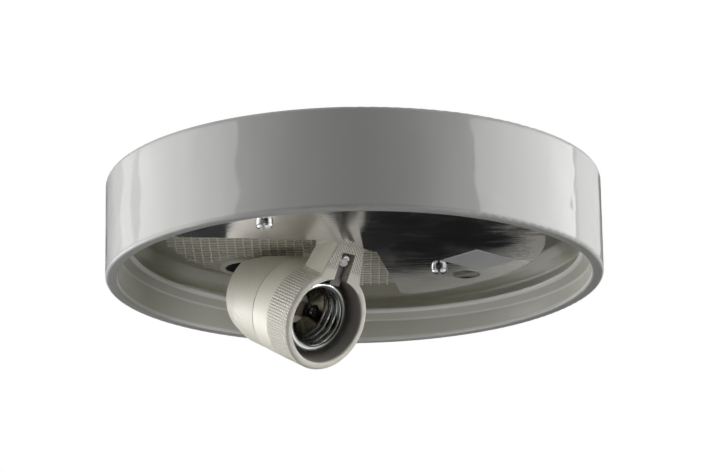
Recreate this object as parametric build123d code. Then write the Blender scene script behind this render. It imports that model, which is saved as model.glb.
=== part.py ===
"""Ceiling lamp base of glazed porcelain with an angled lampholder and a reflector plate.

Millimetres. The origin is the centre of the ceiling face, +Z is up, and the base opens downwards.
The lampholder lies in the vertical plane at 45 degrees and its mouth points at azimuth -45.
Holder pieces are drawn in the holder's own frame: x across, y up the stem, z out of the mouth.
"""

import os
from math import cos, radians, sin, tan

from build123d import *

# Porcelain base
base_radius = 102.5
bore_depth = 20.5
rim_wall = 4.9
rim_edge_round = 1.2
ceiling_edge_round = 2.0
ceiling_land = 12.5
cavity_corner_round = 4.0
web_thickness = 8.0
floor_depth = 21.0
floor_radius = 79.0
moat_width = 13.0
moat_depth = 4.0
moat_slope = 2.2
shoulder_drop = 3.6
shoulder_reach = 3.1

# Round thread that takes the glass
thread_depth = 4.8
thread_lead = 11.4
thread_height = 4.3
thread_crest = 1.0
thread_turns = 1.0
thread_start_azimuth = -150.0
thread_start_rise = 5.9
thread_root_sink = 0.8

# Cable entry
cable_hole_radius = 10.0
cable_hole_reach = 65.0
cable_lip_width = 3.0
cable_lip_height = 1.2

# Ceiling screws
ceiling_pcd = 132.0
ceiling_hole_radius = 2.75
ceiling_post_radius = 7.0
ceiling_head_radius = 5.6
ceiling_head_depth = 2.0

# Reflector plate
plate_radius = 79.0
plate_thickness = 0.8
plate_gap = 4.8
plate_screw_pcd = 100.0
plate_boss_radius = 4.8
plate_access_radius = 6.0
wedge_half_width = 13.5
wedge_half_angle = 53.5
wedge_corner_round = 2.0
wedge_outer_round = 5.0
plate_stem_gap = 0.5

# Bare label on the plate
label_length = 23.0
label_width = 20.4
label_thickness = 0.2
label_along = 54.1
label_across = 19.2

# M4 fixings in the web
m4_radius = 2.0
thread_gap = 0.05
m4_hole_radius = 2.25
m4_nut_width = 7.0
m4_nut_height = 3.2
m4_washer_height = 0.8
nut_pocket_gap = 0.15
nut_pocket_depth = 4.0
m4_head_radius = 3.5
m4_head_height = 2.5
slot_width = 1.2
slot_depth = 1.4
plate_slot_turn = 85.0
screw_overrun = 2.0

# Holder: place and body
holder_azimuth = -45.0
holder_tilt = 28.0
mouth_back = 16.7
mouth_below_floor = 34.4
collar_radius = 21.2
collar_rear_radius = 20.9
collar_length = 24.0
collar_bore = 18.0
collar_edge_round = 1.5
collar_bore_round = 0.7
socket_depth = 22.0
spigot_radius = 17.4
spigot_wall = 3.0
spigot_length = 7.0
spigot_flat_gap = 0.3
socket_floor = 5.0
pillar_radius = 4.8

# Holder: stem and foot
stem_depth = 12.0
stem_half_width = 7.5
stem_spread = 0.25
stem_flare_height = 32.3
stem_edge_round = 0.8
stem_slot_half = 3.6
stem_slot_top = 29.5
stem_slot_depth = 3.5
foot_thickness = 4.6
foot_half_width = 11.0
foot_front = 15.0
foot_back = 13.0
foot_corner_round = 3.0
foot_screw_front = 9.0
foot_screw_half_gap = 6.5
countersink_radius = 3.9

# Holder: rear cap
cap_radius = 20.7
cap_wall = 2.5
cap_seam = 0.3
cap_straight = 13.0
cap_straight_round = 8.0
cap_shoulder_radius = 18.3
cap_shoulder_length = 22.0
cap_shoulder_round = 5.0
cap_end_radius = 11.5
cap_length = 28.2
cap_floor_gap = 3.8
cap_wire_hole_radius = 5.0
cap_wire_hole_back = 43.5

# Screw shell and its strap
shell_bore = 13.35
shell_wall = 0.5
shell_recess = 6.3
shell_thread_length = 11.5
shell_cup_bore = 12.4
shell_lip_reach = 0.8
shell_lip_height = 0.8
shell_flange_bore = 6.8
shell_notch_start = 3.4
shell_notch_half = 4.4
strap_half_width = 2.7
strap_thickness = 0.6
strap_tab = 5.0
strap_end_gap = 0.6
strap_gap = 0.15
strap_screw_radius = 1.75
strap_screw_height = 26.0
strap_head_radius = 2.9
strap_head_height = 2.2
strap_nut_width = 6.0
strap_nut_height = 2.4

# Centre contact and terminals
contact_width = 6.0
contact_thickness = 0.5
contact_rise = 3.3
contact_root_end = 11.8
contact_bend = 5.8
contact_top = 1.6
contact_curl = 1.3
contact_root_round = 1.0
contact_crown_round = 1.2
terminal_offset = 9.3
terminal_width = 6.6
terminal_height = 11.0
terminal_length = 10.0
terminal_wire_radius = 1.5
terminal_wire_back = 7.0
terminal_screw_radius = 1.5
terminal_head_radius = 2.6
terminal_head_height = 1.8
shell_screw_half_gap = 3.2
small_head_radius = 2.2
small_head_height = 1.5
small_slot_width = 0.7
small_slot_depth = 0.8
floor_screw_reach = 4.0
insert_radius = 3.2
insert_length = 7.0
cap_screw_length = 8.0

# Sizes that follow
base_height = floor_depth + bore_depth
plate_drop = floor_depth + plate_gap + plate_thickness
mouth_drop = floor_depth + mouth_below_floor
thread_start_drop = base_height - thread_start_rise
bore_radius = base_radius - rim_wall
cavity_radius = base_radius - ceiling_land
web_top = floor_depth - web_thickness
shoulder_radius = bore_radius - shoulder_reach
crest_radius = bore_radius - thread_depth
plate_top = floor_depth + plate_gap
nut_pocket_half = m4_nut_width / 2 + nut_pocket_gap
nut_seat = web_top + nut_pocket_depth
shell_outer = shell_bore + shell_wall
shell_floor = socket_depth - shell_wall
shell_cup_start = shell_recess + shell_thread_length
shell_cup_outer = shell_cup_bore + shell_wall
cap_inner_radius = cap_radius - cap_wall
cap_start = collar_length + cap_seam
cap_end = cap_start + cap_length - cap_seam
cap_inner_end = cap_end - cap_wall
terminal_start = socket_depth + socket_floor
facet_drop = floor_depth + cap_floor_gap
cap_inner_facet = facet_drop + cap_wall
wide = 4 * base_radius

fixing_azimuth = holder_azimuth + 90
cable_azimuth = holder_azimuth + 180


def holder_plane():
    forward = Vector(cos(radians(holder_azimuth)), sin(radians(holder_azimuth)), 0)
    across = Vector(-forward.Y, forward.X, 0)
    out = forward * cos(radians(holder_tilt)) - Vector(0, 0, sin(radians(holder_tilt)))
    centre = forward * -mouth_back - Vector(0, 0, mouth_drop)
    return Plane(origin=centre, x_dir=across, z_dir=out)


HOLDER = holder_plane().location
FORWARD = Rot(0, 0, holder_azimuth)


def polar(radius, azimuth):
    return (radius * cos(radians(azimuth)), radius * sin(radians(azimuth)))


def profile(corners):
    """Closed outline from (x, y, corner radius) triples."""
    points = [(x, y) for x, y, _ in corners]
    return make_face(FilletPolyline(*points, radius=[r for _, _, r in corners], close=True))


def turned(corners):
    """Solid of revolution about Z from an outline of (radius, z, corner radius)."""
    return revolve(Plane.XZ * profile(corners), Axis.Z)


def rod(radius, low, high, x=0.0, y=0.0):
    return Pos(x, y, low) * extrude(Circle(radius), high - low)


def above(drop):
    """All the room over the level -drop."""
    return Pos(0, 0, wide / 2 - drop) * Box(wide, wide, wide)


def block(x0, x1, y0, y1, z0, z1):
    return Pos((x0 + x1) / 2, (y0 + y1) / 2, (z0 + z1) / 2) * Box(x1 - x0, y1 - y0, z1 - z0)


def pan_screw(radius, length, head_radius, head_height, slot_w, slot_d):
    """Slotted screw: shank along +Z from its seat at z=0, domed head below the seat."""
    head = turned([
        (0, 0, 0),
        (head_radius, 0, 0),
        (head_radius, -head_height, head_height * 0.6),
        (0, -head_height, 0),
    ])
    slot = block(-head_radius, head_radius, -slot_w / 2, slot_w / 2, -head_height, slot_d - head_height)
    return (head - slot) + rod(radius, 0, length)


def countersunk_screw(radius, length, head_radius, slot_w, slot_d):
    """Slotted screw whose flat head is flush with z=0 and whose shank runs along +Z."""
    cone = turned([(0, 0, 0), (head_radius, 0, 0), (radius, head_radius - radius, 0), (0, head_radius - radius, 0)])
    slot = block(-head_radius, head_radius, -slot_w / 2, slot_w / 2, 0, slot_d)
    return (cone + rod(radius, 0, length)) - slot


def square_nut(width, height, bore):
    return extrude(RectangleRounded(width, width, width * 0.06) - Circle(bore), height)


def washer(outer, bore, height):
    return extrude(Circle(outer) - Circle(bore), height)


def glass_thread():
    """Helical ridge inside the bore, with rounded noses where it starts and ends."""
    root = bore_radius + thread_root_sink
    section = Plane.XZ * profile([
        (root, -thread_height, 0),
        (bore_radius, -thread_height, 0),
        (crest_radius, -thread_crest, thread_crest * 0.45),
        (crest_radius, 0, thread_crest * 0.45),
        (bore_radius, thread_crest, 0),
        (root, thread_crest, 0),
    ])
    path = Helix(thread_lead, thread_lead * thread_turns, bore_radius)
    ridge = sweep(section, path=path, is_frenet=True)
    hinge = Axis((root, 0, 0), (0, 0, 1))
    start_nose = revolve(section, hinge, 90)
    end_turn = 360 * (thread_turns % 1)
    end_nose = Rot(0, 0, end_turn) * Pos(0, 0, thread_lead * thread_turns) * revolve(section, hinge, -90)
    return Rot(0, 0, thread_start_azimuth) * Pos(0, 0, -thread_start_drop) * (ridge + start_nose + end_nose)


def base_shell():
    moat_outer = floor_radius + moat_width
    moat_top = moat_depth - floor_depth
    return turned([
        (0, -web_top, 0),
        (cavity_radius, -web_top, cavity_corner_round),
        (cavity_radius, 0, 0.6),
        (base_radius, 0, ceiling_edge_round),
        (base_radius, -base_height, rim_edge_round),
        (bore_radius, -base_height, rim_edge_round * 0.8),
        (bore_radius, -floor_depth - shoulder_drop, shoulder_drop * 0.7),
        (shoulder_radius, -floor_depth, 0.4),
        (moat_outer, moat_top, 1.0),
        (floor_radius + moat_slope, moat_top, 1.0),
        (floor_radius, -floor_depth, 0.4),
        (0, -floor_depth, 0),
    ])


def fixing_points():
    """Centres of the M4 fixings: two for the plate, two for the holder's foot."""
    plate = [polar(plate_screw_pcd / 2, fixing_azimuth + turn) for turn in (0, 180)]
    forward = Vector(*polar(1, holder_azimuth))
    across = Vector(-forward.Y, forward.X)
    foot = [forward * foot_screw_front + across * (side * foot_screw_half_gap) for side in (-1, 1)]
    return plate, [(p.X, p.Y) for p in foot]


def base():
    body = base_shell()
    plate_points, foot_points = fixing_points()
    cable = polar(cable_hole_reach, cable_azimuth)
    lip = cable_hole_radius + cable_lip_width
    body += Pos(*cable) * turned([
        (0, -floor_depth + 1, 0),
        (lip, -floor_depth + 1, 0),
        (lip, -floor_depth - cable_lip_height, cable_lip_height),
        (0, -floor_depth - cable_lip_height, 0),
    ])
    for x, y in plate_points:
        body += rod(plate_boss_radius, -plate_top, -floor_depth + 1, x, y)
    ceiling_points = [polar(ceiling_pcd / 2, fixing_azimuth + turn) for turn in (0, 180)]
    for x, y in ceiling_points:
        body += rod(ceiling_post_radius, -web_top - 1, 0, x, y)
    body += glass_thread()
    for x, y in ceiling_points:
        body -= rod(ceiling_hole_radius, -floor_depth - 1, 1, x, y)
        body -= rod(ceiling_head_radius, -floor_depth - 1, -floor_depth + ceiling_head_depth, x, y)
    body -= rod(cable_hole_radius, -floor_depth - cable_lip_height - 1, -web_top + 1, *cable)
    pocket = Box(2 * nut_pocket_half, 2 * nut_pocket_half, nut_pocket_depth + 1)
    for x, y in plate_points + foot_points:
        body -= rod(m4_hole_radius, -plate_top - 1, -web_top + 1, x, y)
        body -= Pos(x, y, (nut_pocket_depth + 1) / 2 - nut_seat) * FORWARD * pocket
    return body


def wedge():
    """Cut-out of the plate: a sector that opens towards the cable entry, in the forward frame."""
    edge = -mouth_back + (stem_plane_height() * sin(radians(holder_tilt))) + plate_stem_gap
    reach = 1.5 * plate_radius
    spread = wedge_half_width + (reach + edge) * tan(radians(wedge_half_angle))
    return profile([
        (edge, -wedge_half_width, wedge_corner_round),
        (edge, wedge_half_width, wedge_corner_round),
        (-reach, spread, 0),
        (-reach, -spread, 0),
    ])


def stem_plane_height():
    """Distance up the mouth plane from the mouth centre to the top face of the plate."""
    return (mouth_drop - plate_top) / cos(radians(holder_tilt))


def reflector():
    outline = Circle(plate_radius) - FORWARD * wedge()
    outer = [v for v in outline.vertices() if Vector(v.X, v.Y).length > plate_radius - 0.01]
    outline = fillet(outer, wedge_outer_round)
    plate = Pos(0, 0, -plate_drop) * extrude(outline, plate_thickness)
    plate_points, _ = fixing_points()
    for x, y in plate_points:
        plate -= rod(m4_hole_radius, -plate_drop - 1, -plate_top + 1, x, y)
    for turn in (0, 180):
        x, y = polar(ceiling_pcd / 2, fixing_azimuth + turn)
        plate -= rod(plate_access_radius, -plate_drop - 1, -plate_top + 1, x, y)
    return plate


def label():
    foil = extrude(RectangleRounded(label_width, label_length, 0.8), -label_thickness)
    return FORWARD * Pos(label_across, label_along, -plate_drop) * foil


def holder_body():
    rear = terminal_start
    spigot_end = collar_length + spigot_length
    turned_body = turned([
        (0, -socket_depth, 0),
        (collar_bore, -socket_depth, 1.0),
        (collar_bore, 0, collar_bore_round),
        (collar_radius, 0, collar_edge_round),
        (collar_rear_radius, -collar_length, 0.5),
        (spigot_radius, -collar_length, 0),
        (spigot_radius, -spigot_end, 0.4),
        (spigot_radius - spigot_wall, -spigot_end, 0.4),
        (spigot_radius - spigot_wall, -rear, 0),
        (pillar_radius, -rear, 0),
        (pillar_radius, -cap_inner_end, 0),
        (0, -cap_inner_end, 0),
    ])
    flare_low = collar_bore - collar_edge_round * 3
    low_half = stem_half_width + (stem_flare_height - flare_low) * stem_spread
    top = (mouth_drop - floor_depth) / cos(radians(holder_tilt)) + stem_depth
    outline = profile([
        (-stem_half_width, top, 0),
        (stem_half_width, top, 0),
        (stem_half_width, stem_flare_height, 2),
        (low_half, flare_low, 0),
        (-low_half, flare_low, 0),
        (-stem_half_width, stem_flare_height, 2),
    ])
    stem = extrude(outline, -stem_depth)
    front = [e for e in stem.edges().filter_by_position(Axis.Z, -0.01, 0.01) if e.center().Y > flare_low + 1]
    stem = fillet([e for e in front if e.center().Y < top - 1], stem_edge_round)
    bore = rod(collar_bore, -socket_depth, 1)
    slot = block(-stem_slot_half, stem_slot_half, 0, stem_slot_top, -stem_slot_depth, 1)
    body = turned_body + (stem - bore)
    body -= slot - rod(collar_bore - 1, -stem_slot_depth - 1, 2)
    body -= rod(strap_screw_radius + 0.2, -stem_depth - 1, 0, 0, strap_screw_height)
    for x, y, radius in floor_screws():
        body -= rod(radius + 0.15, -rear - 1, -socket_depth + 1, x, y)
    body -= rod(insert_radius, -cap_inner_end - 1, insert_length - cap_inner_end)
    body = HOLDER * body - above(floor_depth)
    body -= above(cap_inner_facet + spigot_flat_gap) & HOLDER * rod(wide, -wide, -collar_length)
    foot = RectangleRounded(foot_front + foot_back, 2 * foot_half_width, foot_corner_round)
    foot = Pos((foot_front - foot_back) / 2, 0, -floor_depth) * extrude(foot, -foot_thickness)
    body += FORWARD * foot
    _, foot_points = fixing_points()
    underside = floor_depth + foot_thickness
    for x, y in foot_points:
        body -= rod(m4_hole_radius, -underside - 1, -floor_depth + 1, x, y)
        sink = turned([
            (0, -underside, 0),
            (countersink_radius, -underside, 0),
            (0, countersink_radius - underside, 0),
        ])
        body -= Pos(x, y) * sink
    return body


def floor_screws():
    """Screws through the socket floor: two hold the shell, one the centre contact."""
    shell = [(-terminal_offset, side * shell_screw_half_gap, terminal_screw_radius) for side in (-1, 1)]
    return shell + [(terminal_offset, 0, terminal_screw_radius)]


def cap_form(radius, shoulder, shoulder_back, end_radius, end):
    return turned([
        (0, -cap_start, 0),
        (radius, -cap_start, 0.4),
        (radius, -cap_start - cap_straight, cap_straight_round),
        (shoulder, -cap_start - shoulder_back, cap_shoulder_round),
        (end_radius, -end, 1.5),
        (0, -end, 0),
    ])


def holder_cap():
    outer = cap_form(cap_radius, cap_shoulder_radius, cap_shoulder_length, cap_end_radius, cap_end)
    inner_shoulder = cap_shoulder_radius - cap_wall
    inner = cap_form(cap_inner_radius, inner_shoulder, cap_shoulder_length - 1, cap_end_radius - 1, cap_inner_end)
    inner += rod(cap_inner_radius, -cap_start - 1, 1 - cap_start)
    cap = (HOLDER * outer - above(facet_drop)) - (HOLDER * inner - above(cap_inner_facet))
    cap -= HOLDER * rod(m4_hole_radius, -cap_end - 1, 1 - cap_inner_end)
    forward = -mouth_back - cap_wire_hole_back * cos(radians(holder_tilt)) + facet_rise(cap_wire_hole_back)
    x, y = polar(forward, holder_azimuth)
    return cap - rod(cap_wire_hole_radius, -facet_drop - 2 * cap_wall, 1 - facet_drop, x, y)


def facet_rise(back):
    """How far forward of the axis the cap's flat top lies, at a distance behind the mouth."""
    axis_drop = mouth_drop - back * sin(radians(holder_tilt))
    return (axis_drop - facet_drop) * tan(radians(holder_tilt))


def screw_shell():
    lip = shell_outer + shell_lip_reach
    body = turned([
        (shell_flange_bore, -socket_depth, 0),
        (shell_cup_outer, -socket_depth, 0.4),
        (shell_cup_outer, -shell_cup_start - shell_wall, 0),
        (shell_outer, -shell_cup_start - shell_wall, 0.3),
        (shell_outer, -shell_recess - shell_lip_height, 0),
        (lip, -shell_recess - shell_lip_height, 0.3),
        (lip, -shell_recess, 0.3),
        (shell_bore, -shell_recess, 0.3),
        (shell_bore, -shell_cup_start, 0),
        (shell_cup_bore, -shell_cup_start, 0.3),
        (shell_cup_bore, -shell_floor, 0),
        (shell_flange_bore, -shell_floor, 0),
    ])
    notch = block(shell_notch_start, shell_cup_bore - 0.2, -shell_notch_half, shell_notch_half,
                  -socket_depth - 1, 0.1 - shell_floor)
    body -= notch
    for x, y, radius in floor_screws()[:2]:
        body -= rod(radius + 0.15, -socket_depth - 1, 1 - shell_floor, x, y)
    return body


def shell_strap():
    """Strip that joins the shell's side to the screw in the stem."""
    back = stem_slot_depth
    low = shell_outer + shell_lip_reach + strap_gap
    top = stem_slot_top - strap_end_gap
    tab = block(-strap_half_width, strap_half_width, low, low + strap_thickness, -back - strap_tab, -back)
    leg = block(-strap_half_width, strap_half_width, low, top, -back, strap_thickness - back)
    return (leg + tab) - rod(strap_screw_radius + 0.1, -back - 1, 1 - back, 0, strap_screw_height)


def centre_contact():
    """Bronze leaf: flat root under its screw, a ramp, and a crown that the lamp presses."""
    low = contact_thickness / 2 - socket_depth
    line = FilletPolyline(
        (contact_root_end, low), (contact_bend, low), (contact_top, low + contact_rise),
        (-contact_top, low + contact_rise), (-2 * contact_top, low + contact_rise - contact_curl),
        radius=[contact_root_round, contact_crown_round, contact_crown_round],
    )
    strip = trace(line, line_width=contact_thickness)
    leaf = extrude(Plane.XZ * strip, contact_width / 2, both=True)
    return leaf - rod(terminal_screw_radius + 0.1, -socket_depth - 1, 2 - socket_depth, terminal_offset, 0)


def terminal(side):
    centre = side * terminal_offset
    body = block(centre - terminal_width / 2, centre + terminal_width / 2,
                 -terminal_height / 2, terminal_height / 2, -terminal_start - terminal_length, -terminal_start)
    body = chamfer(body.edges(), 0.4)
    wire = Rot(90, 0, 0) * Cylinder(terminal_wire_radius, 2 * terminal_height)
    body -= Pos(centre, 0, -terminal_start - terminal_wire_back) * wire
    holes = [(x, y) for x, y, _ in floor_screws() if x * side > 0]
    for x, y in holes:
        body -= rod(terminal_screw_radius + thread_gap, -terminal_start - floor_screw_reach - 0.5, 1, x, y)
    clamp_hole = rod(terminal_screw_radius + thread_gap, -terminal_start - terminal_length - 1,
                     -terminal_start - terminal_wire_back, centre, 0)
    return body - clamp_hole


def clamp_screws():
    """Terminal screws, run in until they are just clear of an empty wire hole."""
    length = terminal_length - terminal_wire_back - terminal_wire_radius
    screw = pan_screw(terminal_screw_radius, length, terminal_head_radius, terminal_head_height,
                      small_slot_width, small_slot_depth)
    seat = -terminal_start - terminal_length
    return [Pos(side * terminal_offset, 0, seat) * screw for side in (-1, 1)]


def socket_screws():
    """Screws whose heads lie on the socket floor and whose shanks run back into the terminals."""
    length = floor_screw_reach + socket_floor + shell_wall
    screw = pan_screw(terminal_screw_radius, length, small_head_radius, small_head_height,
                      small_slot_width, small_slot_depth)
    turned_round = Rot(180, 0, 0) * screw
    return [Pos(x, y, -shell_floor) * turned_round for x, y, _ in floor_screws()]


def strap_screw():
    length = stem_depth - stem_slot_depth + strap_thickness + strap_nut_height + 1
    screw = pan_screw(strap_screw_radius, length, strap_head_radius, strap_head_height,
                      slot_width * 0.9, slot_depth * 0.8)
    return Pos(0, strap_screw_height, strap_thickness - stem_slot_depth) * Rot(180, 0, 0) * screw


def strap_nut():
    nut = square_nut(strap_nut_width, strap_nut_height, strap_screw_radius + thread_gap)
    return Pos(0, strap_screw_height, -stem_depth - strap_nut_height) * nut


def cap_insert():
    sleeve = washer(insert_radius - thread_gap, m4_radius + thread_gap, insert_length)
    return Pos(0, 0, -cap_inner_end) * sleeve


def cap_screw():
    screw = pan_screw(m4_radius, cap_screw_length, m4_head_radius, m4_head_height, slot_width, slot_depth)
    return Pos(0, 0, -cap_end) * screw


def at_points(solid, points, drop):
    return [Pos(x, y, -drop) * solid for x, y in points]


def web_screw_length(seat_drop):
    return seat_drop - nut_seat + m4_washer_height + m4_nut_height + screw_overrun


def nodes():
    plate_points, foot_points = fixing_points()
    foot_seat = floor_depth + foot_thickness
    nut = Rot(0, 0, holder_azimuth) * square_nut(m4_nut_width, m4_nut_height, m4_radius + thread_gap)
    disc = washer(m4_nut_width / 2, m4_hole_radius, m4_washer_height)
    plate_screw = pan_screw(m4_radius, web_screw_length(plate_drop), m4_head_radius, m4_head_height,
                            slot_width, slot_depth)
    foot_screw = countersunk_screw(m4_radius, web_screw_length(foot_seat),
                                   countersink_radius - thread_gap, slot_width, slot_depth)
    nut_drop = nut_seat - m4_washer_height
    floor_set = socket_screws()
    return {
        "base": [base()],
        "reflector": [reflector()],
        "label": [label()],
        "reflector_screws": at_points(Rot(0, 0, plate_slot_turn) * plate_screw, plate_points, plate_drop),
        "reflector_washers": at_points(disc, plate_points, nut_seat),
        "reflector_nuts": at_points(nut, plate_points, nut_drop),
        "holder_body": [holder_body()],
        "holder_screws": at_points(foot_screw, foot_points, foot_seat),
        "holder_washers": at_points(disc, foot_points, nut_seat),
        "holder_nuts": at_points(nut, foot_points, nut_drop),
        "holder_cap": [holder_cap()],
        "cap_insert": [HOLDER * cap_insert()],
        "cap_screw": [HOLDER * cap_screw()],
        "screw_shell": [HOLDER * screw_shell()],
        "shell_strap": [HOLDER * shell_strap()],
        "strap_screw": [HOLDER * strap_screw()],
        "strap_nut": [HOLDER * strap_nut()],
        "shell_screws": [HOLDER * s for s in floor_set[:2]],
        "centre_contact": [HOLDER * centre_contact()],
        "contact_screw": [HOLDER * floor_set[2]],
        "live_terminal": [HOLDER * terminal(1)],
        "neutral_terminal": [HOLDER * terminal(-1)],
        "terminal_screws": [HOLDER * s for s in clamp_screws()],
    }


def main():
    os.makedirs("parts", exist_ok=True)
    for name, solids in nodes().items():
        shape = solids[0] if len(solids) == 1 else Compound(children=solids)
        export_step(shape, f"parts/{name}.step")


main()
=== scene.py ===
"""Porcelain ceiling lamp base with an angled lampholder, dressed and lit for the camera."""
from math import atan, cos, pi, radians, sin

import bmesh
import bpy
from mathutils import Matrix, Vector


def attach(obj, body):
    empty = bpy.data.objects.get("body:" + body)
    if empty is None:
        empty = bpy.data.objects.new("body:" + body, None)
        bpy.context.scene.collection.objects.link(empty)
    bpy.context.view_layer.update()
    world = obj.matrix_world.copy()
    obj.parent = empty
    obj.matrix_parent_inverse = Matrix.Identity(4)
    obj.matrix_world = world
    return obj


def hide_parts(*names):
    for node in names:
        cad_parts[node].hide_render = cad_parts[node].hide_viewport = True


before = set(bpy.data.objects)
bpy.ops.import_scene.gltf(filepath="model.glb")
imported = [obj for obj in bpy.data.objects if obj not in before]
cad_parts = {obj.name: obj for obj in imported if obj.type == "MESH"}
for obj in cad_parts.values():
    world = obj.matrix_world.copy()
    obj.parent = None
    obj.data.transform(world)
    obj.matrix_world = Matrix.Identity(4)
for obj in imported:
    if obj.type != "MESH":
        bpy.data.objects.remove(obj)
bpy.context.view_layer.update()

# Forms, and the places where looks change, are written in millimetres
MM = 0.001

# Steps round a turned form
STEPS_ROUND = 96

# The holder's own frame: x across, y up the stem, z out of the mouth
AZIMUTH, TILT = radians(-45), radians(28)
FORWARD = Vector((cos(AZIMUTH), sin(AZIMUTH), 0))
ACROSS = Vector((-sin(AZIMUTH), cos(AZIMUTH), 0))
OUT = FORWARD * cos(TILT) - Vector((0, 0, sin(TILT)))
UP = OUT.cross(ACROSS)
MOUTH = FORWARD * -16.7 - Vector((0, 0, 55.4))
HOLDER_TURN = Matrix((ACROSS, UP, OUT)).transposed()
HOLDER = Matrix.Translation(MOUTH * MM) @ HOLDER_TURN.to_4x4()

# The middle of the hole for the cable
CABLE = FORWARD * -65

# The glass thread's start in turns from X, its lead, and the level of its lower flank's foot there
THREAD_START, THREAD_LEAD, THREAD_FOOT = 150 / 360, 11.4, -39.9

# Ribs round the knurled collar and round the cap's print, and the pitch along both
COLLAR_RIBS, CAP_RIBS, RING_PITCH = 104, 92, 1.2
CHECK_PITCH = 1.5

WHITE_GLAZE, CREAM_GLAZE, BACK_GLAZE = (0.74, 0.74, 0.725), (0.62, 0.615, 0.545), (0.78, 0.77, 0.73)
# The shaded corner colour is painted shade
SHADED_CORNER, UNGLAZED_CELL, DULL_RIM = (0.38, 0.365, 0.27), (0.64, 0.61, 0.52), (0.48, 0.48, 0.46)
# The light edge colour is a painted highlight, and the dark hole colour is painted shade
PAINTED_EDGE_HIGHLIGHT, PAINTED_HOLE_SHADE = (0.94, 0.93, 0.89), (0.012, 0.011, 0.010)
# The collar's groove and bore colours are painted shade
COLLAR_CREAM, PAINTED_GROOVE_SHADE, PAINTED_BORE_SHADE = (0.88, 0.85, 0.75), (0.56, 0.52, 0.44), (0.52, 0.50, 0.46)
CAP_CREAM, CAP_GROOVE = (0.85, 0.82, 0.73), (0.66, 0.63, 0.54)
BRIGHT_SHEET, DULL_SHEET = (0.84, 0.83, 0.84), (0.86, 0.83, 0.70)
SHELL_LIP, SHELL_CREST = (0.86, 0.86, 0.86), (0.92, 0.94, 0.93)
# The shell's groove and depth colours are painted shade
PAINTED_THREAD_SHADE, PAINTED_DEPTH_SHADE = (0.13, 0.135, 0.13), (0.19, 0.17, 0.13)

# Radiance of the room's far low side, which the bright plate mirrors, and what its left has more
DUSK, LEFT_DUSK = 0.012, 0.035

# The pale floor: its level, its width, its grey, how bright it is in mirrors and where that fades
FLOOR_LEVEL, FLOOR_WIDTH, FLOOR_GREY = -2.7, 16, 0.35
PALE_FLOOR, FADE_START, FADE_END = 0.62, 2.5, 5.0

# Each lamp's name, azimuth and elevation in degrees, width and height in metres, and radiance,
# with False where it isn't seen in mirrors
LAMPS = (
    ("left_front_box", 203, 4, 0.70, 0.9, 1.45),
    ("left_rear_box", 174, 4, 0.65, 0.9, 1.1),
    ("left_far_strip", 147, 4, 0.22, 0.9, 0.6),
    ("right_box", -2, 4, 1.56, 0.9, 1.8),
    ("right_rear_box", 49, 4, 0.80, 0.9, 0.5),
    ("left_strip", 192, -3, 0.45, 0.4, 5.8),
    ("left_rear_strip", 150, -3, 0.5, 0.4, 4.3),
    ("right_strip", -5, -3, 0.8, 0.4, 3.3),
    ("right_low_box", -8, -28, 1.5, 0.7, 0.62),
    ("left_low_box", 196, -25, 0.8, 0.5, 0.9),
    ("low_box", 160, -25, 1.0, 0.7, 1.75),
    ("floor_box", 270, -88, 1.0, 1.0, 0.18),
    ("top_box", 90, 72, 2.0, 2.0, 0.2),
    ("back_box", 90, 88, 0.6, 0.6, 2.5, False),
)

# How far off the lamps are, in metres, and their energy for each unit of radiance and area
LAMP_DISTANCE, LAMP_ENERGY = 1.3, 4


class Wire:
    """A socket that takes part in arithmetic: an expression on it adds its Math nodes."""

    def __init__(self, sheet, socket):
        self.sheet, self.socket = sheet, socket

    def __add__(self, other):
        return self.sheet.math("ADD", self, other)

    def __sub__(self, other):
        return self.sheet.math("SUBTRACT", self, other)

    def __rsub__(self, other):
        return self.sheet.math("SUBTRACT", other, self)

    def __mul__(self, other):
        return self.sheet.math("MULTIPLY", self, other)

    __radd__, __rmul__ = __add__, __mul__

    def size(self):
        return self.sheet.math("ABSOLUTE", self)

    def wave(self, pitch):
        """A sine wave along this value."""
        return self.sheet.math("SINE", self * (2 * pi / pitch))

    def above(self, low, high):
        """0 under low, 1 over high, smooth between."""
        return self.sheet.add(
            "ShaderNodeMapRange", {"interpolation_type": "SMOOTHSTEP"},
            {"Value": self, "From Min": low, "From Max": high},
        )

    def below(self, low, high):
        """1 under low, 0 over high, smooth between."""
        return 1 - self.above(low, high)

    def band(self, start, full, fade, end):
        """1 from full to fade, 0 before start and past end."""
        return self.above(start, full) * self.below(fade, end)


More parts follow.
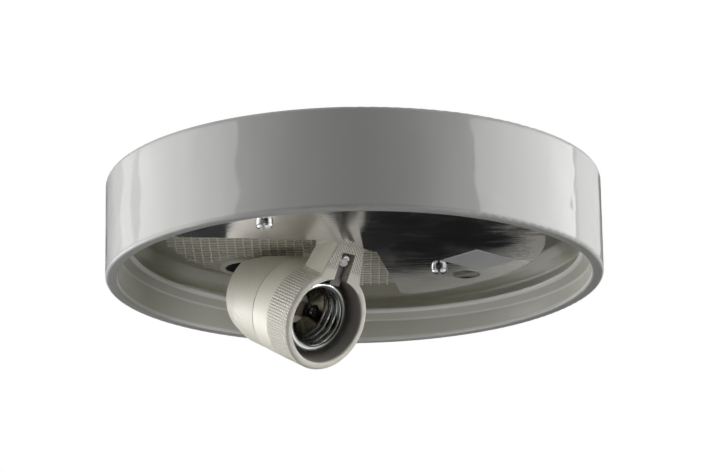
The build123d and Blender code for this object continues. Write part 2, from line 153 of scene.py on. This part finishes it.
class Sheet:
    """A node tree that is written as expressions."""

    def __init__(self, owner):
        owner.use_nodes = True
        self.owner, self.tree = owner, owner.node_tree

    def feed(self, socket, value):
        if isinstance(value, Wire):
            self.tree.links.new(value.socket, socket)
        else:
            socket.default_value = value

    def add(self, kind, settings=None, sockets=None, output=0):
        """A new node's output, after its settings and then its sockets' values or links."""
        node = self.tree.nodes.new(kind)
        for name, value in (settings or {}).items():
            setattr(node, name, value)
        for name, value in (sockets or {}).items():
            self.feed(node.inputs[name], value)
        return Wire(self, node.outputs[output])

    def math(self, operation, *values):
        return self.add("ShaderNodeMath", {"operation": operation}, dict(enumerate(values)))

    def axes(self, point):
        split = self.add("ShaderNodeSeparateXYZ", {}, {0: point}).socket.node
        return [Wire(self, out) for out in split.outputs]

    def reach(self, x, y):
        """Distance from the axis in the plane of x and y."""
        flat = self.add("ShaderNodeCombineXYZ", {}, {0: x, 1: y})
        return self.add("ShaderNodeVectorMath", {"operation": "LENGTH"}, {0: flat}, output="Value")

    def by_ray(self, unseen, mirrored, seen):
        """The tree's surface: one shader for camera rays, one for mirrored rays and one for the rest."""
        shader = unseen
        for ray, other in (("Is Glossy Ray", mirrored), ("Is Camera Ray", seen)):
            chosen = self.add("ShaderNodeLightPath", output=ray)
            shader = self.add("ShaderNodeMixShader", {}, {0: chosen, 1: shader, 2: other})
        ending = next(n for n in self.tree.nodes if n.type in ("OUTPUT_WORLD", "OUTPUT_MATERIAL"))
        self.feed(ending.inputs["Surface"], shader)


class Finish(Sheet):
    """A principled material and the nodes that vary it."""

    def __init__(self, name, color=(0.8, 0.8, 0.8), roughness=0.5, metallic=0.0):
        super().__init__(bpy.data.materials.new(name))
        self.shader = self.tree.nodes["Principled BSDF"]
        self.set("Base Color", (*color, 1))
        self.set("Roughness", roughness)
        self.set("Metallic", metallic)

    def set(self, socket, value):
        self.feed(self.shader.inputs[socket], value)

    def point(self):
        return self.add("ShaderNodeTexCoord", output="Object")

    def holder_point(self):
        """Object coordinates seen from the holder's own frame."""
        turn = HOLDER_TURN.transposed()
        return self.add("ShaderNodeMapping", {}, {
            "Vector": self.point(), "Location": turn @ -MOUTH * MM, "Rotation": turn.to_euler(),
        })

    def places(self, point):
        """x, y and z of a point, in millimetres."""
        return [axis * (1 / MM) for axis in self.axes(point)]

    def noise(self, point, scale, detail=3.0):
        return self.add("ShaderNodeTexNoise", {}, {
            "Vector": point, "Scale": scale, "Detail": detail, "Roughness": 0.55,
        })

    def tint(self, factor, low, high):
        """The colour low where factor is 0, high where it is 1."""
        mix = self.add("ShaderNodeMix", {"data_type": "RGBA"}, output=2)
        sockets = mix.socket.node.inputs
        self.feed(sockets[0], factor)
        for socket, shade in ((sockets[6], low), (sockets[7], high)):
            self.feed(socket, shade if isinstance(shade, Wire) else (*shade, 1))
        return mix

    def bump(self, height, distance, strength):
        self.set("Normal", self.add("ShaderNodeBump", {}, {
            "Height": height, "Distance": distance, "Strength": strength,
        }))


def drum_glaze():
    """White glaze outside, creamier inside, dull at the rim and back, unglazed between the floor's ribs,
    with painted shade high in the inside corner and on the cable hole's wall, and painted highlight lines
    at the thread and the rim's inner edge.
    """
    finish = Finish("drum_glaze")
    point = finish.point()
    x, y, z = finish.places(point)
    reach = finish.reach(x, y)
    from_cable = finish.reach(x - CABLE.x, y - CABLE.y)

    # Where each look is, from 0 to 1, by distance from the axis and by height
    outside = reach.above(97.4, 98.2)
    back = z.above(-15.0, -14.0) * (1 - outside)
    rim = z.below(-40.6, -39.4)
    cells = z.band(-21.4, -21.0, -20.0, -19.8) * reach.below(77.6, 78.4) * from_cable.above(16.0, 16.8)
    # Painted shade high inside, by the wall and the floor's edge
    corner = reach.above(76, 90) * z.above(-30, -24) * 0.6
    # Painted shade on the cable hole's wall, which is near black
    hole = from_cable.below(10.1, 10.4) * z.above(-21.9, -21.4)

    # Painted highlight: light lines on the thread's crest, along its foot and at the rim's inner edge
    crest_highlight = reach.band(92.2, 92.6, 93.6, 94.4) * z.below(-24.0, -23.0)
    turns = finish.math("ARCTAN2", y, x) * (0.5 / pi) + THREAD_START
    from_foot = (z - finish.math("FRACT", turns) * THREAD_LEAD - THREAD_FOOT).size()
    foot_highlight = from_foot.below(0.2, 0.6) * reach.above(96.8, 97.2) * 0.7
    lip = reach.band(97.3, 97.7, 98.6, 99.2) * z.below(-40.2, -39.6) * 0.8

    cloud = finish.noise(point, 38)
    glaze = finish.tint(corner, CREAM_GLAZE, SHADED_CORNER)
    glaze = finish.tint(back, glaze, BACK_GLAZE)
    glaze = finish.tint(outside + cloud * 0.12 - 0.06, glaze, WHITE_GLAZE)
    glaze = finish.tint(cells * (cloud * 0.4 + 0.6), glaze, UNGLAZED_CELL)
    glaze = finish.tint(rim * (cloud * 0.6 + 0.4), glaze, DULL_RIM)
    glaze = finish.tint((crest_highlight + foot_highlight + lip) * (1 - outside), glaze, PAINTED_EDGE_HIGHLIGHT)
    finish.set("Base Color", finish.tint(hole, glaze, PAINTED_HOLE_SHADE))
    finish.set("Roughness", (0.24 - outside * 0.19) + (rim + back) * 0.3 + hole * 0.5)

    grain = finish.noise(point, 320, 2.0) * (1 - outside)
    unevenness = finish.noise(point, 40, 2.0) * 14
    finish.bump(grain + cloud * 0.2 + unevenness, 0.12 * MM, 0.5)
    return finish


def holder_glaze():
    """Cream glaze over a knurled collar front, a smooth band behind it and a checked stem, with painted
    shade in the grooves and down the collar's inside.
    """
    finish = Finish("holder_glaze")
    point = finish.holder_point()
    x, y, z = finish.places(point)
    reach = finish.reach(x, y)

    around = finish.math("ARCTAN2", y, x)
    knurl = (around.wave(2 * pi / COLLAR_RIBS) + z.wave(RING_PITCH)) * 0.7
    front = z.band(-14.2, -13.4, -1.2, -0.4) * reach.band(20.3, 20.6, 21.9, 22.1)
    checks = x.wave(CHECK_PITCH) * y.wave(CHECK_PITCH)
    stem = y.above(21.2, 22.0) * z.above(-0.8, -0.4)
    relief = knurl * front + checks * stem
    # Painted shade down the collar's bore
    bore = reach.below(18.0, 18.4) * z.band(-21.8, -21.0, -1.2, -0.4)

    # Painted shade in the knurl's grooves and the stem's checks
    glaze = finish.tint(relief.above(-1.35, -0.6), PAINTED_GROOVE_SHADE, COLLAR_CREAM)
    finish.set("Base Color", finish.tint(bore, glaze, PAINTED_BORE_SHADE))
    grain = finish.noise(point, 900, 2.0)
    finish.set("Roughness", grain * 0.12 + 0.30)
    finish.bump(relief + grain * 0.4, 0.24 * MM, 0.9)
    return finish


def cap_glaze():
    """Cream glaze with a faint cloth-like print of its mould."""
    finish = Finish("cap_glaze", roughness=0.36)
    point = finish.holder_point()
    x, y, z = finish.places(point)
    around = finish.math("ARCTAN2", y, x)
    weave = around.wave(2 * pi / CAP_RIBS) * z.wave(RING_PITCH)
    finish.set("Base Color", finish.tint(weave.above(-0.9, 0.1), CAP_GROOVE, CAP_CREAM))
    finish.bump(weave * 0.4 + finish.noise(point, 420, 2.0), 0.12 * MM, 0.6)
    return finish


def rolled_aluminium():
    """Bright sheet with faint rolling lines and smears, dulled towards its right end."""
    finish = Finish("rolled_aluminium")
    point = finish.point()

    def streaked(scale, turn, detail):
        """Noise drawn out along X and turned about Z."""
        drawn = finish.add("ShaderNodeMapping", {}, {
            "Vector": point, "Scale": scale, "Rotation": (0, 0, turn),
        })
        return finish.noise(drawn, 1.0, detail)

    lines = streaked((35, 900, 900), radians(4), 2.0)
    streaks = streaked((60, 420, 420), 0, 3.0)
    smears = finish.noise(point, 45, 4.0)
    x = finish.places(point)[0]
    dulled = (x + streaks * 50).above(80, 112) * (smears.above(0.3, 0.6) * 0.5 + 0.35)
    finish.set("Base Color", finish.tint(dulled, BRIGHT_SHEET, DULL_SHEET))
    finish.set("Metallic", 1 - dulled)
    finish.set("Roughness", smears.above(0.35, 0.75) * 0.14 + lines * 0.10 + 0.04 + dulled * 0.2)
    finish.bump(smears + lines * 0.3, 0.4 * MM, 0.35)
    return finish


def shell_metal():
    """Nickel that is bright at the lip and along the thread's crests, with painted shade in the thread's
    grooves and deeper in the shell.
    """
    finish = Finish("shell_metal", metallic=1.0)
    x, y, z = finish.places(finish.holder_point())
    reach = finish.reach(x, y)
    # Painted shade, darker deeper in the shell
    depth = z.below(-19.5, -15.0)
    lip = reach.above(13.4, 13.7) * z.above(-7.2, -7.0)
    # Painted shade in the thread's grooves between its bright crests
    metal = finish.tint(reach.below(11.9, 12.4), PAINTED_THREAD_SHADE, SHELL_CREST)
    metal = finish.tint(lip, metal, SHELL_LIP)
    finish.set("Base Color", finish.tint(depth, metal, PAINTED_DEPTH_SHADE))
    finish.set("Roughness", finish.noise(finish.point(), 260) * 0.06 + 0.12)
    return finish


def bright(name, color, roughness):
    """Plain metal whose roughness varies a little."""
    finish = Finish(name, color, metallic=1.0)
    finish.set("Roughness", finish.noise(finish.point(), 500) * 0.12 + roughness)
    return finish


PORCELAIN, HOLDER_GLAZE, CAP_GLAZE = drum_glaze(), holder_glaze(), cap_glaze()
RIB_GLAZE = Finish("rib_glaze", (0.95, 0.93, 0.84), 0.28)
SHELL_METAL = shell_metal()
ALUMINIUM = rolled_aluminium()
FOIL = Finish("label_foil", (0.75, 0.75, 0.77), 0.35)
ZINC = bright("zinc_plate", (0.78, 0.78, 0.79), 0.14)
NICKEL = bright("nickel_plate", (0.36, 0.35, 0.335), 0.08)
DULL_NICKEL = bright("dull_nickel", (0.13, 0.125, 0.12), 0.30)
BRASS = bright("plain_brass", (0.72, 0.52, 0.26), 0.22)
# Bronze darkened almost to black, as painted shade deep in the socket
BRONZE_PAINTED_SHADE = bright("spring_bronze_painted_shade", (0.07, 0.055, 0.04), 0.32)

NODE_FINISH = {
    "base": PORCELAIN, "reflector": ALUMINIUM, "label": FOIL,
    "reflector_screws": ZINC, "reflector_washers": ZINC, "reflector_nuts": ZINC,
    "holder_body": HOLDER_GLAZE, "holder_screws": ZINC, "holder_washers": ZINC, "holder_nuts": ZINC,
    "holder_cap": CAP_GLAZE, "cap_insert": BRASS, "cap_screw": ZINC,
    "screw_shell": SHELL_METAL, "shell_strap": DULL_NICKEL, "strap_screw": NICKEL, "strap_nut": NICKEL,
    "shell_screws": NICKEL, "centre_contact": BRONZE_PAINTED_SHADE, "contact_screw": NICKEL,
    "live_terminal": BRASS, "neutral_terminal": BRASS, "terminal_screws": NICKEL,
}


def piece(name, bm, finish, place=Matrix(), smooth=True):
    """Ends a bmesh in millimetres as a piece of the object, with its place in its mesh."""
    bmesh.ops.scale(bm, vec=(MM, MM, MM), verts=bm.verts)
    bmesh.ops.transform(bm, matrix=place, verts=bm.verts)
    bmesh.ops.recalc_face_normals(bm, faces=bm.faces)
    mesh = bpy.data.meshes.new(name)
    bm.to_mesh(mesh)
    bm.free()
    mesh.materials.append(finish.owner)
    if smooth:
        mesh.shade_smooth()
    made = bpy.data.objects.new(name, mesh)
    bpy.context.collection.objects.link(made)
    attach(made, "root")
    return made


def spun(bm, geom, **options):
    """Turns an outline in the plane of X and Z about Z."""
    bmesh.ops.spin(
        bm, geom=geom, axis=(0, 0, 1), cent=(0, 0, 0), angle=2 * pi, steps=STEPS_ROUND, **options,
    )


def ring(bm, corners):
    """A closed ring about Z from an outline of (radius, z)."""
    verts = [bm.verts.new((r, 0, z)) for r, z in corners]
    edges = [bm.edges.new(pair) for pair in zip(verts, verts[1:] + verts[:1])]
    spun(bm, verts + edges, use_merge=True)


def rolled_shell():
    """Screw shell with its round rolled thread, front lip, narrower cup and floor."""
    pitch, middle, depth, wall = 3.629, 12.78, 0.56, 0.4
    front, back, steps_along = -6.6, -17.9, 12

    # The thread is spun past both ends and then cut there
    turns, run_in = 5, 1.4
    start = back - run_in * pitch
    bm = bmesh.new()
    line = [
        bm.verts.new((middle + depth * cos(2 * pi * i / steps_along), 0, start + pitch * i / steps_along))
        for i in range(turns * steps_along + 1)
    ]
    edges = [bm.edges.new(pair) for pair in zip(line, line[1:])]
    spun(bm, line + edges, dvec=(0, 0, pitch / STEPS_ROUND))
    bmesh.ops.remove_doubles(bm, verts=bm.verts, dist=0.01)
    for level, side in ((front, 1), (back, -1)):
        whole = bm.verts[:] + bm.edges[:] + bm.faces[:]
        place, normal = (0, 0, level), (0, 0, side)
        bmesh.ops.bisect_plane(bm, geom=whole, plane_co=place, plane_no=normal, clear_outer=True)
    bmesh.ops.recalc_face_normals(bm, faces=bm.faces)
    bmesh.ops.solidify(bm, geom=bm.faces[:], thickness=wall)

    lip = [
        (12.6, -6.9), (12.9, -6.35), (13.5, -6.3), (14.4, -6.3),
        (14.65, -6.55), (14.65, -6.95), (14.3, -7.1),
    ]
    inner, step, hole, sheet, floor = 12.4, 13.0, 6.8, 0.5, -22.0
    step_top, step_foot, step_end = back + 0.2, back - 0.3, back - 0.5
    cup = [
        (inner, step_top), (step, step_top), (step, step_foot), (inner + sheet, step_end),
        (inner + sheet, floor), (hole, floor), (hole, floor + sheet), (inner, floor + sheet),
    ]
    ring(bm, lip)
    ring(bm, cup)
    made = piece("rolled_shell", bm, SHELL_METAL, HOLDER)
    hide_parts("screw_shell")


def floor_grid():
    """Raised lattice cast into the drum's floor, seen through the plate's open wedge."""
    pitch, count, line, rise, turn = 3.55, 44, 0.7, 0.45, radians(1)
    floor, bite = -21.0, 0.02

    # It ends at the floor's edge and round the cable hole, and goes a little under the plate
    floor_reach, boss_reach, plate_reach = 78, 16.5, 70
    wedge_front, wedge_half, wedge_spread, tuck = 4, 20, 1.4, 6
    bm = bmesh.new()
    bmesh.ops.create_grid(bm, x_segments=count, y_segments=count, size=pitch * count / 2)
    cells = bm.faces[:]
    bmesh.ops.inset_individual(bm, faces=cells, thickness=line / 2)
    bmesh.ops.delete(bm, geom=cells, context="FACES_ONLY")
    bmesh.ops.rotate(bm, verts=bm.verts, matrix=Matrix.Rotation(turn, 3, "Z"))

    def hidden(face):
        """Past the floor's edge, on the cable hole's boss, or under the plate beside its wedge."""
        middle = face.calc_center_median()
        forward = middle.dot(FORWARD)
        half = wedge_half + max(0, -forward) * wedge_spread + tuck
        beside = forward > wedge_front or abs(middle.dot(ACROSS)) > half
        under_plate = beside and middle.length < plate_reach
        return middle.length > floor_reach or (middle - CABLE).length < boss_reach or under_plate

    def pinched(vert):
        """Where faces would meet in a point alone."""
        return sum(edge.is_boundary for edge in vert.link_edges) > 2

    bmesh.ops.delete(bm, geom=[f for f in bm.faces if hidden(f)], context="FACES")
    bmesh.ops.delete(bm, geom=[f for f in bm.faces if any(map(pinched, f.verts))], context="FACES")
    grown = bmesh.ops.extrude_face_region(bm, geom=bm.faces[:])["geom"]
    lower = [v for v in grown if isinstance(v, bmesh.types.BMVert)]
    bmesh.ops.translate(bm, vec=(0, 0, -rise), verts=lower)
    bmesh.ops.translate(bm, vec=(0, 0, floor + bite), verts=bm.verts)
    piece("floor_grid", bm, RIB_GLAZE, smooth=False)


def dress():
    """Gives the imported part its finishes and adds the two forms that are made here."""
    for name, finish in NODE_FINISH.items():
        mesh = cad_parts[name].data
        mesh.materials.clear()
        mesh.materials.append(finish.owner)
    rolled_shell()
    floor_grid()


def soft_box(name, azimuth, elevation, width, height, radiance, mirrored=True):
    """A rectangular lamp that faces the object from the side that the two angles give."""
    light = bpy.data.lights.new(name, "AREA")
    light.shape, light.size, light.size_y = "RECTANGLE", width, height
    light.energy = radiance * width * height * LAMP_ENERGY
    lamp = bpy.data.objects.new(name, light)
    bpy.context.collection.objects.link(lamp)
    a, e = radians(azimuth), radians(elevation)
    away = Vector((cos(a) * cos(e), sin(a) * cos(e), sin(e)))
    lamp.location = away * LAMP_DISTANCE
    lamp.rotation_mode = "QUATERNION"
    lamp.rotation_quaternion = away.to_track_quat("Z", "Y")
    lamp.visible_camera = False
    lamp.visible_glossy = mirrored


def room():
    """White to the camera; for the rest dark, with a dim far low side."""
    world = bpy.data.worlds.new("studio")
    bpy.context.scene.world = world
    sky = Sheet(world)
    x, y, z = sky.axes(sky.add("ShaderNodeTexCoord", output="Generated"))
    far_low = y.above(0.1, 0.5) * z.below(-0.05, 0.3)
    left = x.below(-0.045, 0.005)
    glow = far_low * (left * LEFT_DUSK + DUSK)
    dark = sky.add("ShaderNodeBackground", {}, {"Color": (1, 1, 1.02, 1), "Strength": glow})
    white = sky.add("ShaderNodeBackground", {}, {"Color": (1, 1, 1, 1), "Strength": 1.0})
    sky.by_ray(dark, dark, white)


def pale_floor():
    """White to the camera and pale in mirrors, but no brighter than grey card to the lamps."""
    bpy.ops.mesh.primitive_plane_add(size=FLOOR_WIDTH, location=(0, 0, FLOOR_LEVEL))
    floor = bpy.context.object
    floor.name = "studio_floor"
    paint = Sheet(bpy.data.materials.new("studio_floor"))
    x, y = paint.axes(paint.add("ShaderNodeTexCoord", output="Object"))[:2]
    near = paint.reach(x, y).below(FADE_START, FADE_END) * PALE_FLOOR
    card = paint.add("ShaderNodeBsdfDiffuse", {}, {"Color": (FLOOR_GREY, FLOOR_GREY, FLOOR_GREY, 1)})
    pale = paint.add("ShaderNodeEmission", {}, {"Color": (1, 1, 1, 1), "Strength": near})
    white = paint.add("ShaderNodeEmission", {}, {"Color": (1, 1, 1, 1)})
    paint.by_ray(card, pale, white)
    floor.data.materials.append(paint.owner)


def swung(first, second, angle):
    """Two directions at right angles, with the first turned towards the second."""
    return first * cos(angle) + second * sin(angle), second * cos(angle) - first * sin(angle)


def camera():
    """The photograph's own view, found from the ellipses of the drum's rims."""
    lens, sensor, photo_width, photo_height = 172.2, 36, 709, 472
    elevation, distance, roll, about_drum = radians(15.79), 1.3977, radians(-0.895), radians(1)

    # The middle of the drum's lower rim, and its place in the picture in pixels
    rim, rim_across, rim_down = Vector((0, 0, -41.5 * MM)), 353.96, 280.69
    pixels = lens / sensor * photo_width
    right = Vector((1, 0, 0))
    ahead = Vector((0, cos(elevation), sin(elevation)))
    place = rim - ahead * distance
    upward = right.cross(ahead)
    ahead, right = swung(ahead, right, atan((photo_width / 2 - rim_across) / pixels))
    ahead, upward = swung(ahead, upward, atan((rim_down - photo_height / 2) / pixels))
    right, upward = swung(right, upward, roll)
    pose = Matrix((right, upward, -ahead)).transposed().to_4x4()
    pose.translation = place
    data = bpy.data.cameras.new("camera")
    data.lens, data.clip_start, data.clip_end = lens, 0.05, 50
    seen = bpy.data.objects.new("camera", data)
    bpy.context.collection.objects.link(seen)
    seen.matrix_world = Matrix.Rotation(about_drum, 4, "Z") @ pose
    bpy.context.scene.camera = seen


dress()
room()
pale_floor()
for lamp_row in LAMPS:
    soft_box(*lamp_row)
camera()
bpy.context.scene.view_settings.view_transform = "Standard"
